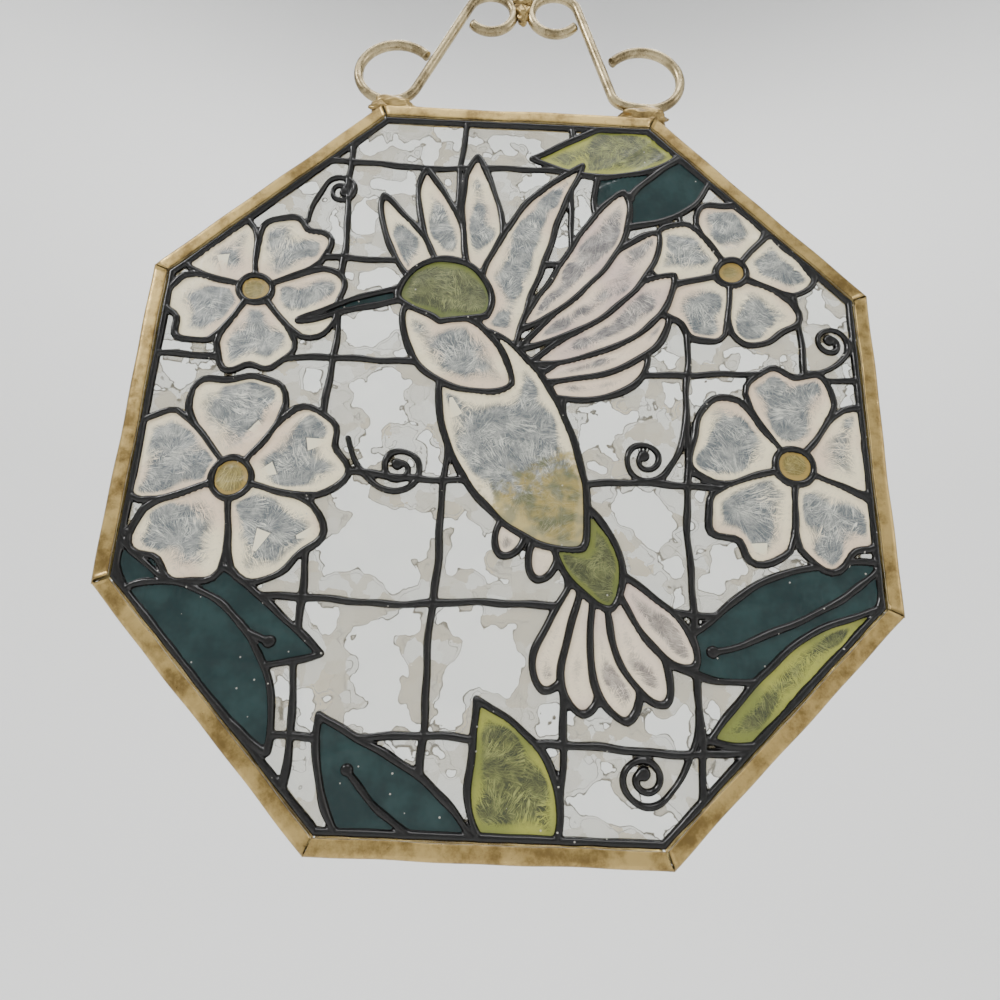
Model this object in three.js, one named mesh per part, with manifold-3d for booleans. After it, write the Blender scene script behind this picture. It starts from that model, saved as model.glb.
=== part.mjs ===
// A stained glass suncatcher: an eight-sided pane of clear glass in a folded brass came, with a picture
// drawn on the glass in raised black leading, hung from two scrolled brass wires and a ring.
// Millimetres. The panel hangs upright: X to the right, +Z up, and the front faces -Y. The origin is the
// highest point of the ring's hole, where a hook carries it.

import * as THREE from 'three';
import { mergeVertices } from 'three/addons/utils/BufferGeometryUtils.js';
import Module from 'manifold-3d';

const wasm = await Module();
wasm.setup();

// Driving dimensions ------------------------------------------------------------------------------------

const openingHalfWidth = 84; // from the middle of the pane to the came's lip
const sideLengthening = 2.94; // how far the top and bottom halves of the eight-sided outline move apart
const glassThickness = 3;
const cameThickness = 5; // front to back
const cameFace = 3.6; // width of the brass seen from the front
const cameWall = 0.7;
const cameEdgeRadius = 1.2;
const clearance = 0.3; // between pieces that would touch
const wireDiameter = 2.6;
const ringWireDiameter = 2;
const ringRadius = 5; // to the middle of its wire
const leadingWidth = 1.8;
const leadingTopWidth = 0.8;
const leadingHeight = 1.1;
const leadingStep = 5.2; // length of one straight stretch of a curved line
const trellisPitch = 28;

// The two hanger wires, seen from the middle outwards. Each is one rod: an outer curl, a foot on the came,
// a leg that leans inwards and an upper loop. x is the distance from the middle, z the height above the
// pane's middle, and end the angle in degrees at which the curl or loop stops, anticlockwise from outwards.
// The curl opens evenly, from its radius above the foot to its radius at the end.
const hangers = {
  left: {
    side: -1,
    lean: 66, // slope of the leg from the horizontal
    curl: { x: 34.4, z: 102.3, footRadius: 8.2, endRadius: 11.4, end: 140 },
    loop: { x: 8.8, z: 125.8, radius: 6.4, end: 321 },
  },
  right: {
    side: 1,
    lean: 72,
    curl: { x: 34.2, z: 103.7, footRadius: 8.7, endRadius: 11.2, end: 144 },
    loop: { x: 9.2, z: 126.2, radius: 6.7, end: 325 },
  },
};
const footHeight = 98.8; // where the leg straightens
const ringHeight = 137.2; // middle of the ring above the pane's middle

const openingHalfHeight = openingHalfWidth + sideLengthening;
const cameTop = openingHalfHeight + cameFace;
const paneMiddle = -(ringHeight + ringRadius - ringWireDiameter / 2);
const cornerStretch = 1 / Math.cos(Math.PI / 8); // corner distance over side distance in an octagon

// Materials ---------------------------------------------------------------------------------------------

const brass = () => new THREE.MeshStandardMaterial({ color: 0x9c8650, roughness: 0.38, metalness: 1 });
const solder = () => new THREE.MeshStandardMaterial({ color: 0xb09a68, roughness: 0.5, metalness: 1 });
const blackLeading = () => new THREE.MeshStandardMaterial({ color: 0x0d0d0f, roughness: 0.2 });
const clearGlass = () =>
  new THREE.MeshStandardMaterial({ color: 0xdfe8e4, roughness: 0.05, transparent: true, opacity: 0.35 });

// Closed meshes in and out of the boolean library ---------------------------------------------------------

function toSolid(geometry) {
  const bare = geometry.clone();
  bare.deleteAttribute('normal');
  bare.deleteAttribute('uv');
  const merged = mergeVertices(bare);
  return new wasm.Manifold(
    new wasm.Mesh({
      numProp: 3,
      vertProperties: merged.attributes.position.array,
      triVerts: merged.index.array,
    }),
  );
}

function toGeometry(solid) {
  const { vertProperties, triVerts } = solid.getMesh();
  const geometry = new THREE.BufferGeometry();
  geometry.setAttribute('position', new THREE.BufferAttribute(vertProperties, 3));
  geometry.setIndex(new THREE.BufferAttribute(triVerts, 1));
  return geometry;
}

// Shapes that several pieces share ------------------------------------------------------------------------

const radians = (degrees) => THREE.MathUtils.degToRad(degrees);
const at = (x, z) => new THREE.Vector2(x, z); // a place in the plane of the pane
const fractions = (steps) => Array.from({ length: steps + 1 }, (_, i) => i / steps);

// A pane-shaped plate or ring: an eight-sided lathe about Y whose top and bottom halves are moved apart.
// The profile's points are [distance from the middle to a side, place from front to back].
function octagonal(profile) {
  const points = profile.map(([distance, y]) => new THREE.Vector2(distance * cornerStretch, y));
  const geometry = new THREE.LatheGeometry(points, 8, Math.PI / 8);
  const position = geometry.attributes.position;
  for (let i = 0; i < position.count; i += 1) {
    const z = position.getZ(i);
    position.setZ(i, z + Math.sign(z) * sideLengthening);
  }
  return geometry;
}

// A length of one section along a route in the plane of the pane. The section's x stands out to the front.
function swept(section, points, steps) {
  const route = new THREE.CatmullRomCurve3(points.map((p) => new THREE.Vector3(p.x, 0, p.y)));
  return new THREE.ExtrudeGeometry(section, { steps, extrudePath: route });
}

function roundSection(diameter, sides) {
  const corners = Array.from({ length: sides }, (_, i) => {
    const angle = ((i + 0.5) / sides) * Math.PI * 2;
    return new THREE.Vector2(Math.cos(angle), Math.sin(angle)).multiplyScalar(diameter / 2);
  });
  return new THREE.Shape(corners);
}

// The pane and its came: a U-shaped strip, notched at each corner and folded round the glass -----------------

function glassGeometry() {
  const edge = openingHalfWidth + cameFace - cameWall - clearance;
  const half = glassThickness / 2;
  return octagonal([[0, -half], [edge, -half], [edge, half], [0, half]]);
}

function cameGeometry() {
  const lip = openingHalfWidth;
  const outside = lip + cameFace;
  const face = cameThickness / 2;
  const channel = glassThickness / 2 + clearance;
  const lipChamfer = 0.25;
  const roundSteps = 2;
  const front = [[lip, -channel], [lip, lipChamfer - face], [lip + lipChamfer, -face]];
  for (let i = 0; i <= roundSteps; i += 1) {
    const angle = ((i / roundSteps) * Math.PI) / 2;
    const inwards = cameEdgeRadius * (1 - Math.sin(angle));
    const backwards = cameEdgeRadius * (1 - Math.cos(angle));
    front.push([outside - inwards, backwards - face]);
  }
  const back = front.map(([distance, y]) => [distance, -y]).reverse();
  const floor = outside - cameWall;
  let came = toSolid(octagonal([...front, ...back, [floor, channel], [floor, -channel], front[0]]));

  // The mitre at each corner stays a little open, widest where the strip's two ends meet.
  const mitreGaps = [0.35, 0.5, 0.35, 0.5, 0.35, 0.9, 0.35, 0.5];
  const mitreLength = (cameFace - cameWall) * cornerStretch;
  mitreGaps.forEach((gap, corner) => {
    const angle = ((corner + 0.5) * Math.PI) / 4;
    const reach = lip * cornerStretch;
    const cut = new THREE.BoxGeometry(gap, cameThickness * 2, mitreLength * 2);
    cut.rotateY(angle);
    const z = reach * Math.cos(angle);
    cut.translate(reach * Math.sin(angle), 0, z + Math.sign(z) * sideLengthening);
    came = came.subtract(toSolid(cut));
  });
  return toGeometry(came);
}

// The hanger: two wires, the ring between them, and the lumps of solder that join them ------------------------

function hangerPoints({ side, lean, curl, loop }) {
  const curlEnd = radians(curl.end);
  const curlFoot = radians(-90);
  const curled = fractions(40).map((s) => {
    const angle = curlEnd + (curlFoot - curlEnd) * s;
    const reach = curl.endRadius + (curl.footRadius - curl.endRadius) * s;
    return at(curl.x + reach * Math.cos(angle), curl.z + reach * Math.sin(angle));
  });
  const curlBottom = curl.z - curl.footRadius;
  const slope = Math.tan(radians(lean));
  const touch = radians(90 - lean);
  const legTop = at(loop.x + loop.radius * Math.cos(touch), loop.z + loop.radius * Math.sin(touch));
  const footX = legTop.x + (legTop.y - footHeight) / slope;
  const bendX = footX + (footHeight - curlBottom) / slope;
  const route = new THREE.Path(curled);
  route.quadraticCurveTo(bendX, curlBottom, footX, footHeight);
  route.lineTo(legTop.x, legTop.y);
  route.absarc(loop.x, loop.z, loop.radius, touch, radians(loop.end), false);
  return route.getSpacedPoints(90).map((p) => at(side * p.x, p.y));
}

function wireGeometry(hanger) {
  const steps = 46;
  return swept(roundSection(wireDiameter, 6), hangerPoints(hanger), steps);
}

function ringGeometry(wire = ringWireDiameter) {
  return new THREE.TorusGeometry(ringRadius, wire / 2, 6, 20).rotateX(Math.PI / 2).translate(0, 0, ringHeight);
}

// A lump of solder around what it joins, with the clearance left round each piece inside it.
function solderLump({ x, z, halfWidth, halfDepth, halfHeight }, joined) {
  const lump = new THREE.IcosahedronGeometry(1, 1);
  lump.scale(halfWidth, halfDepth, halfHeight).translate(x, 0, z);
  return toGeometry(joined.reduce((solid, piece) => solid.subtract(toSolid(piece)), toSolid(lump)));
}

function wireRoom(hanger) {
  const steps = 60;
  return swept(roundSection(wireDiameter + 2 * clearance, 8), hangerPoints(hanger), steps);
}

function footSolder(hanger) {
  const { side, curl } = hanger;
  const wireHeight = curl.z - curl.footRadius;
  const lump = { x: side * (curl.x - 0.8), z: wireHeight - 3, halfWidth: 6.2, halfDepth: 2.7, halfHeight: 3.4 };
  const belowCameTop = new THREE.BoxGeometry(60, 20, 20).translate(lump.x, 0, cameTop + clearance - 10);
  return solderLump(lump, [wireRoom(hanger), belowCameTop]);
}

function topSolder() {
  const lump = { x: 0.1, z: 127.4, halfWidth: 3.3, halfDepth: 2.4, halfHeight: 5.1 };
  const rooms = Object.values(hangers).map(wireRoom);
  return solderLump(lump, [...rooms, ringGeometry(ringWireDiameter + 2 * clearance)]);
}

// The picture: raised lines drawn on the front of the pane ----------------------------------------------------
// Points lie in the plane of the pane, measured from its middle. A cell is an area of the picture, given by
// its outline and the lines drawn for it. A later cell covers what was drawn before it.

const stepsFor = (length) => Math.max(3, Math.ceil(length / leadingStep));

// A leaf or feather: a straight spine bowed sideways by bow, with a half-width that follows the sine of the
// way along it. belly says where along the spine it is widest, and a smaller blunt makes rounder ends.
function leaf(base, tip, width, { bow = 0, belly = 0.45, blunt = 0.85, rib = 0 } = {}) {
  const along = tip.clone().sub(base);
  const across = at(-along.y, along.x).normalize();
  const power = Math.log(0.5) / Math.log(belly);
  const steps = stepsFor(along.length() + width / 2);
  const spine = (s) => base.clone().addScaledVector(along, s).addScaledVector(across, bow * 4 * s * (1 - s));
  const edge = (s, way) => {
    const heading = along.clone().addScaledVector(across, bow * 4 * (1 - 2 * s));
    const outwards = at(-heading.y, heading.x).normalize();
    const half = (width / 2) * Math.max(0, Math.sin(Math.PI * s ** power)) ** blunt;
    return spine(s).addScaledVector(outwards, way * half);
  };
  // Both ends are round, so the points stand closer there.
  const spread = fractions(steps).map((s) => (1 - Math.cos(Math.PI * s)) / 2);
  const left = spread.map((s) => edge(s, 1));
  const right = spread.map((s) => edge(s, -1));
  const lines = [left, right];
  if (rib > 0) {
    const ribSteps = stepsFor(along.length() * rib);
    lines.push(fractions(ribSteps).map((s) => spine(s * rib)));
  }
  return { outline: [...left, ...right.slice(1, -1).reverse()], lines };
}

function disc(middle, radius) {
  const ring = fractions(8).map((s) => at(Math.cos(s * 2 * Math.PI), Math.sin(s * 2 * Math.PI)));
  const outline = ring.map((p) => p.multiplyScalar(radius).add(middle));
  return { outline: outline.slice(0, -1), lines: [outline.slice(0, 5), outline.slice(4)] };
}

// An open five-petalled flower. Each petal's edge bulges as the root of a cosine, with a dent in its middle
// and a small ruffle.
function blossom(middle, radius, turn) {
  const petals = 5;
  const notch = 0.6;
  const dent = 0.12;
  const ruffle = 0.025;
  const eyeRadius = radius * 0.17;
  const petalAngle = (2 * Math.PI) / petals;
  const polar = (angle, reach) => at(Math.cos(angle), Math.sin(angle)).multiplyScalar(reach).add(middle);
  const edges = Array.from({ length: petals }, (_, k) =>
    fractions(7).map((s) => {
      const u = 2 * s - 1;
      const bulge = notch + (1 - notch) * Math.sqrt(Math.max(0, Math.cos((u * Math.PI) / 2)));
      const dip = 1 - dent * Math.exp(-((u / 0.28) ** 2)) + ruffle * Math.sin(9 * u + k * 2.1);
      return polar(radians(turn) + (k + u / 2) * petalAngle, radius * bulge * dip);
    }),
  );
  const partings = edges.map((edge, k) => [polar(radians(turn) + (k - 0.5) * petalAngle, eyeRadius), edge[0]]);
  const rosette = { outline: edges.flatMap((edge) => edge.slice(0, -1)), lines: [...edges, ...partings] };
  return [rosette, disc(middle, eyeRadius)];
}

// A tendril: a stalk that runs into a coil, whose radius shrinks evenly. way is 1 where it coils anticlockwise.
function tendril(start, middle, radius, turns, way, lean) {
  const heading = Math.atan2(middle.y - start.y, middle.x - start.x);
  const first = heading - (way * Math.PI) / 2 + radians(lean);
  const coil = fractions(stepsFor(radius * turns * 5)).map((s) => {
    const angle = first + way * 2 * Math.PI * turns * s;
    return at(Math.cos(angle), Math.sin(angle)).multiplyScalar(radius * (1 - 0.8 * s)).add(middle);
  });
  const entry = at(Math.sin(first), -Math.cos(first)).multiplyScalar(way * 0.55 * start.distanceTo(coil[0]));
  const stalk = new THREE.QuadraticBezierCurve(start, coil[0].clone().add(entry), coil[0]);
  return [...stalk.getPoints(3), ...coil.slice(1)];
}

function trellis() {
  const waver = 0.6;
  const uprights = [-1.5, -0.5, 0.5, 1.5, 2.5].map((column, i) =>
    fractions(4).map((s) => {
      const t = 2 * s - 1;
      return at(column * trellisPitch + waver * Math.sin(5 * t + 2 * i), t * openingHalfHeight);
    }),
  );
  const rails = [72, 44, 16, -12, -40, -68].map((z, i) =>
    fractions(4).map((s) => {
      const t = 2 * s - 1;
      return at(t * openingHalfWidth, z + waver * Math.sin(6 * t + 1.7 * i));
    }),
  );
  return [...uprights, ...rails];
}

const leaves = [
  leaf(at(52, 84), at(22, 54), 26, { bow: -3, rib: 0.7 }),
  leaf(at(46, 90), at(4, 76), 17, { bow: 4, belly: 0.4 }),
  leaf(at(-84, -28), at(-37, -52), 19, { bow: -4, rib: 0.8 }),
  leaf(at(-80, -40), at(-46, -72), 17, { bow: 5 }),
  leaf(at(0, -92), at(-36, -64), 19, { bow: 5, rib: 0.75 }),
  leaf(at(6, -94), at(-4, -60), 18, { bow: -3, belly: 0.4 }),
  leaf(at(84, -28), at(35, -50), 21, { bow: 4, rib: 0.8 }),
  leaf(at(82, -38), at(44, -66), 17, { bow: 4 }),
];

const flowers = [
  ...blossom(at(-61, -14), 27, 22),
  ...blossom(at(-62, 34), 23, 60),
  ...blossom(at(66, -6), 26, 88),
  ...blossom(at(54, 44), 22, 14),
];

const tail = [[10, -57, 8.5], [18, -62, 9], [27, -63, 9], [35, -59, 9], [42, -51, 8.5]].map(([x, z, width]) =>
  leaf(at(19, -27), at(x, z), width, { belly: 0.74, blunt: 0.55 }),
);

const farWing = [
  leaf(at(-6, 26), at(-33, 62), 9, { bow: 3, belly: 0.6, blunt: 0.7 }),
  leaf(at(-5, 26), at(-23, 71), 9.5, { bow: 2, belly: 0.6, blunt: 0.7 }),
  leaf(at(-3, 24), at(-10, 75), 10, { bow: 1, belly: 0.6, blunt: 0.7 }),
];

const nearWing = [
  leaf(at(6, 10), at(33, 20), 10, { bow: -2, belly: 0.62, blunt: 0.62 }),
  leaf(at(5, 13), at(38, 31), 10.5, { bow: -2, belly: 0.62, blunt: 0.62 }),
  leaf(at(4, 17), at(40, 43), 11, { bow: -3, belly: 0.62, blunt: 0.62 }),
  leaf(at(2, 21), at(36, 55), 11, { bow: -3, belly: 0.62, blunt: 0.62 }),
  leaf(at(1, 25), at(28, 66), 10.5, { bow: -3, belly: 0.62, blunt: 0.62 }),
  leaf(at(-3, 14), at(17, 74), 13, { bow: 6, belly: 0.42, blunt: 0.75 }),
];

const bird = [
  ...tail,
  ...farWing,
  ...nearWing,
  leaf(at(6, -16), at(0, -29), 6.5, { belly: 0.62, blunt: 0.5 }), // foot
  leaf(at(12, -20), at(8, -34), 6.5, { belly: 0.62, blunt: 0.5 }), // foot
  leaf(at(14, -16), at(24, -40), 13, { belly: 0.5, blunt: 0.6 }), // rump
  leaf(at(-8, 25), at(18, -27), 28, { bow: -4, belly: 0.45, blunt: 0.62 }), // body
  leaf(at(-25, 31), at(1, 12), 17, { bow: -2, belly: 0.5, blunt: 0.62 }), // throat
  leaf(at(-22, 36), at(-51, 26), 3.4, { belly: 0.15, blunt: 0.5 }), // beak
  leaf(at(-27, 33), at(-6, 29), 17, { bow: 5, belly: 0.5, blunt: 0.6 }), // head
];

const tendrils = [
  tendril(at(-52, 54), at(-44, 63), 4.5, 1.5, -1, 10),
  tendril(at(-36, -4), at(-24, -10), 5.5, 1.6, 1, 20),
  tendril(at(42, 6), at(32, -6), 5.5, 1.6, -1, 10),
  tendril(at(42, -60), at(31, -74), 5.5, 1.6, -1, 0),
  tendril(at(70, 17), at(77, 26), 4.5, 1.4, 1, 0),
];

function leadingGeometry() {
  const base = -glassThickness / 2;
  const [halfWidth, halfTop] = [leadingWidth / 2, leadingTopWidth / 2];
  const section = new THREE.Shape([
    at(0, -halfWidth), at(leadingHeight, -halfTop), at(leadingHeight, halfTop), at(0, halfWidth),
  ]);
  const bead = (points) => toSolid(swept(section, points, points.length - 1).translate(0, base, 0));
  const through = (outline) => {
    const prism = new THREE.ExtrudeGeometry(new THREE.Shape(outline), {
      depth: leadingHeight + 2,
      bevelEnabled: false,
    });
    return toSolid(prism.rotateX(Math.PI / 2).translate(0, base + 1, 0));
  };

  let drawn = trellis().map(bead).reduce((all, line) => all.add(line));
  for (const { outline, lines } of [...leaves, ...flowers, ...bird]) {
    drawn = drawn.subtract(through(outline));
    for (const line of lines) drawn = drawn.add(bead(line));
  }
  for (const line of tendrils) drawn = drawn.add(bead(line));

  // The line along the came closes the picture, and nothing is drawn past it.
  const outer = openingHalfWidth - clearance;
  const middle = outer - halfWidth;
  const [foot, top] = [base, base - leadingHeight];
  const border = [
    [middle - halfWidth, foot], [middle - halfTop, top], [middle + halfTop, top], [outer, foot],
    [middle - halfWidth, foot],
  ];
  const field = [[0, top - 1], [middle, top - 1], [middle, foot + 1], [0, foot + 1]];
  drawn = drawn.intersect(toSolid(octagonal(field))).add(toSolid(octagonal(border)));
  // Joining leaves spare points on flat faces, which are cleared away.
  return toGeometry(drawn.asOriginal().simplify(0.02));
}

// The suncatcher ----------------------------------------------------------------------------------------------

const pieces = [
  ['glass_pane', glassGeometry(), clearGlass()],
  ['came_brass', cameGeometry(), brass()],
  ['leading_lines', leadingGeometry(), blackLeading()],
  ['hanger_wire_left', wireGeometry(hangers.left), brass()],
  ['hanger_wire_right', wireGeometry(hangers.right), brass()],
  ['hanging_ring', ringGeometry(), brass()],
  ['solder_left', footSolder(hangers.left), solder()],
  ['solder_right', footSolder(hangers.right), solder()],
  ['solder_top', topSolder(), solder()],
];

const suncatcher = new THREE.Group();
for (const [name, geometry, material] of pieces) {
  const mesh = new THREE.Mesh(geometry, material);
  mesh.name = name;
  suncatcher.add(mesh);
}
suncatcher.position.z = paneMiddle;

export default suncatcher;
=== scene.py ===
import math

import bpy
import numpy as np
from mathutils import Matrix, Vector


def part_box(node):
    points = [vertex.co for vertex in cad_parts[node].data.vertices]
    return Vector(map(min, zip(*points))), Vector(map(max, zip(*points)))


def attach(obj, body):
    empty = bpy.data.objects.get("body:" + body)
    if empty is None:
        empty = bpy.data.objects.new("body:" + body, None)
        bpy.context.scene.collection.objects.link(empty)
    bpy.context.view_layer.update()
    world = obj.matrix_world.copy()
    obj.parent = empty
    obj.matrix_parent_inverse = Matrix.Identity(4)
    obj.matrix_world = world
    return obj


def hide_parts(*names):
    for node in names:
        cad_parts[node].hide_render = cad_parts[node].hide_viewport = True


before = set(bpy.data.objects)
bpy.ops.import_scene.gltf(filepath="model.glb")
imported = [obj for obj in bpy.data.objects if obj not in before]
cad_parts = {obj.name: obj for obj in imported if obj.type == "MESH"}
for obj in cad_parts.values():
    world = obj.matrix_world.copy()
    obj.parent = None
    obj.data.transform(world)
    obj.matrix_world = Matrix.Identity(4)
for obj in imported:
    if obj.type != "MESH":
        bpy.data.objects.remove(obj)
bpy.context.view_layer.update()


# The room: a pale floor that curves up into a pale wall all round, lit by soft boxes, and the camera.
# The panel hangs upright in it, and the camera stands close, low and a little to the left of its middle.

MM = 0.001
pane_low, pane_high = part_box("glass_pane")
pane_middle = (pane_low + pane_high) / 2
opening_half_width = 84 * MM


def add_mesh(name, places, faces):
    """A mesh object from an (n, 3) array of places in metres and an array of faces' corners."""
    mesh = bpy.data.meshes.new(name)
    mesh.from_pydata(np.asarray(places, float), [], np.asarray(faces, int))
    mesh.validate()
    mesh.shade_smooth()
    piece = bpy.data.objects.new(name, mesh)
    bpy.context.scene.collection.objects.link(piece)
    return piece


def grid_faces(rows, columns, wrap_rows=False, wrap_columns=False):
    """Four-cornered faces between neighbours in a grid of points numbered row by row."""
    row = np.arange(rows if wrap_rows else rows - 1)[:, None]
    column = np.arange(columns if wrap_columns else columns - 1)[None, :]
    after, beside = (row + 1) % rows, (column + 1) % columns
    here, there = row * columns, after * columns
    corners = [here + column, here + beside, there + beside, there + column]
    return np.stack([corner.ravel() for corner in corners], axis=1)


def new_material(name, **plain):
    """A material with one Principled shader. Each named value is set on the shader's own socket."""
    material = bpy.data.materials.new(name)
    material.use_nodes = True
    shader = material.node_tree.nodes["Principled BSDF"]
    for key, value in plain.items():
        shader.inputs[key.replace("_", " ")].default_value = value
    return material, material.node_tree, shader


def node(tree, kind, *values, **settings):
    """Adds a shader node. Values fill its inputs in order, None leaves one as it is, and sockets are
    linked."""
    new = tree.nodes.new("ShaderNode" + kind)
    for key, value in settings.items():
        setattr(new, key, value)
    for socket, value in zip(new.inputs, values):
        if isinstance(value, bpy.types.NodeSocket):
            tree.links.new(value, socket)
        elif value is not None:
            socket.default_value = value
    return new


def sweep_profile(count=40):
    """Radius and height: a flat floor, a quarter circle, then a straight wall."""
    floor_radius, bend, wall_top, floor_height = 1.6, 1.2, 5.0, -0.62
    turn = np.linspace(0, np.pi / 2, count)
    radius = np.concatenate([[0.0], floor_radius + bend * np.sin(turn), [floor_radius + bend]])
    height = np.concatenate([[0.0], bend * (1 - np.cos(turn)), [wall_top]]) + floor_height
    return radius, height


radius, height = sweep_profile()
around = np.linspace(0, 2 * np.pi, 96, endpoint=False)
places = np.stack([
    radius[:, None] * np.cos(around),
    radius[:, None] * np.sin(around),
    np.repeat(height[:, None], len(around), axis=1),
], axis=-1).reshape(-1, 3)
room = add_mesh("room", places, grid_faces(len(radius), len(around), wrap_columns=True))
material, tree, shader = new_material("room_paint", Base_Color=(0.82, 0.82, 0.81, 1), Roughness=0.9)
room.data.materials.append(material)

world = bpy.data.worlds.new("sky")
world.use_nodes = True
world.node_tree.nodes["Background"].inputs["Color"].default_value = (0.95, 0.97, 1.0, 1)
world.node_tree.nodes["Background"].inputs["Strength"].default_value = 0.8
bpy.context.scene.world = world


def soft_box(name, place, target, size, watts, colour=(1, 1, 1)):
    """An oblong area light at a place, turned to its target. Its size is (across, up)."""
    light = bpy.data.lights.new(name, "AREA")
    light.shape = "RECTANGLE"
    light.size, light.size_y = size
    light.energy, light.color = watts, colour
    lamp = bpy.data.objects.new(name, light)
    lamp.location = place
    lamp.rotation_euler = (Vector(target) - Vector(place)).to_track_quat("-Z", "Y").to_euler()
    bpy.context.scene.collection.objects.link(lamp)


soft_box("key_light", (-1.15, -0.85, 0.85), pane_middle, (0.4, 0.4), 16)
soft_box("top_light", (0.1, -1.0, 1.75), pane_middle, (1.5, 0.9), 22)
soft_box("fill_light", (1.4, -0.8, 0.2), pane_middle, (0.4, 1.0), 4, (1.0, 0.96, 0.9))
soft_box("wall_light", (0.0, 0.9, 2.4), (0, 2.6, 0.2), (2.4, 0.8), 60)

camera = bpy.data.cameras.new("camera")
camera.sensor_width, camera.lens = 36, 24.79
camera.clip_start, camera.clip_end = 0.01, 20
eye = bpy.data.objects.new("camera", camera)
forward = Vector((0.0064, 0.9628, 0.2701)).normalized()
sideways = forward.cross(Vector((-0.0428, -0.2695, 0.962))).normalized()
above = sideways.cross(forward)
turn = Matrix((sideways, above, -forward)).transposed().to_4x4()
standpoint = pane_middle + opening_half_width * Vector((-0.020, -1.785, -0.694))
eye.matrix_world = Matrix.Translation(standpoint) @ turn
bpy.context.scene.collection.objects.link(eye)
bpy.context.scene.camera = eye


# The pane: one eight-sided sheet of clear float glass, 3 mm thick, with its edge hidden in the brass strip.
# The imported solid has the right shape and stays.

material, tree, shader = new_material(
    "clear_glass", Base_Color=(0.95, 0.98, 0.965, 1), Roughness=0.015, IOR=1.5, Transmission_Weight=1.0
)
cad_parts["glass_pane"].data.materials.clear()
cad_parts["glass_pane"].data.materials.append(material)


# The drawing: every line and cell of the picture, as it was laid out before the black paste went on.
# Places are [x, z] in millimetres from the pane's middle. A cell drawn later covers what lies under it.

grid_step = 0.3
opening_half = 84.0
side_lengthening = 2.94
glass_front = pane_low.y / MM
line_half_width = 0.9
sight = 9.0  # how far from a line the drawing still knows it
nearest = 0.04  # the least distance that counts, so that no line pulls without end


def leaf(base, tip, width, bow=0.0, belly=0.45, blunt=0.85, rib=0.0):
    """A spine bowed sideways by bow * 4 s (1 - s), and a half-width of width/2 times a power of the sine of
    pi s^k, where k puts the widest place at belly. Returns the outline and the lines drawn for it."""
    base, along = np.array(base, float), np.subtract(tip, base).astype(float)
    across = np.array([-along[1], along[0]]) / np.hypot(*along)
    power = math.log(0.5) / math.log(belly)

    def spine(s):
        return base + along * s[:, None] + across * (bow * 4 * s * (1 - s))[:, None]

    s = (1 - np.cos(np.pi * np.linspace(0, 1, 40))) / 2
    heading = along + across * (bow * 4 * (1 - 2 * s))[:, None]
    outwards = np.stack([-heading[:, 1], heading[:, 0]], axis=1) / np.hypot(*heading.T)[:, None]
    half = width / 2 * np.maximum(0, np.sin(np.pi * s**power)) ** blunt
    left, right = spine(s) + outwards * half[:, None], spine(s) - outwards * half[:, None]
    lines = [left, right] + ([spine(np.linspace(0, rib, 24))] if rib else [])
    return np.concatenate([left, right[-2:0:-1]]), lines


def blossom(middle, radius, turn):
    """Five petals. Each edge's reach is the root of a cosine with a dent in its middle and a small ruffle."""
    notch, dent, ruffle, eye = 0.6, 0.12, 0.025, 0.17
    u = np.linspace(-1, 1, 22)
    bulge = notch + (1 - notch) * np.sqrt(np.maximum(0, np.cos(u * np.pi / 2)))
    edges, partings = [], []
    for k in range(5):
        reach = radius * bulge * (1 - dent * np.exp(-((u / 0.28) ** 2)) + ruffle * np.sin(9 * u + 2.1 * k))
        angle = math.radians(turn) + (k + u / 2) * 2 * np.pi / 5
        edges.append(middle + reach[:, None] * np.stack([np.cos(angle), np.sin(angle)], axis=1))
        first = np.array([math.cos(angle[0]), math.sin(angle[0])])
        partings.append(np.stack([middle + first * radius * eye, edges[-1][0]]))
    return np.concatenate([edge[:-1] for edge in edges]), edges + partings


def disc(middle, radius):
    """A circle, closed on itself."""
    angle = np.linspace(0, 2 * np.pi, 40)
    ring = np.asarray(middle) + radius * np.stack([np.cos(angle), np.sin(angle)], axis=1)
    return ring[:-1], [ring]


def tendril(start, middle, radius, turns, way, lean):
    """A stalk, as a quadratic curve, that runs into a coil whose radius falls evenly to a fifth."""
    start, middle = np.array(start, float), np.array(middle, float)
    first = math.atan2(*(middle - start)[::-1]) - way * np.pi / 2 + math.radians(lean)
    s = np.linspace(0, 1, 60)[:, None]
    angle = first + way * 2 * np.pi * turns * s
    coil = middle + radius * (1 - 0.8 * s) * np.concatenate([np.cos(angle), np.sin(angle)], axis=1)
    entry = np.array([math.sin(first), -math.cos(first)]) * way * 0.55 * np.hypot(*(start - coil[0]))
    t = np.linspace(0, 1, 16)[:, None]
    stalk = start * (1 - t) ** 2 + (coil[0] + entry) * 2 * t * (1 - t) + coil[0] * t**2
    return np.concatenate([stalk, coil[1:]])


def trellis():
    """Upright and level lines 28 mm apart that waver by a sine."""
    pitch, waver, t = 28, 0.6, np.linspace(-1, 1, 60)
    half_height = opening_half + side_lengthening
    uprights = [
        np.stack([column * pitch + waver * np.sin(5 * t + 2 * i), t * half_height], axis=1)
        for i, column in enumerate([-1.5, -0.5, 0.5, 1.5, 2.5])
    ]
    rails = [
        np.stack([t * opening_half, z + waver * np.sin(6 * t + 1.7 * i)], axis=1)
        for i, z in enumerate([72, 44, 16, -12, -40, -68])
    ]
    return uprights + rails


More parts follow.
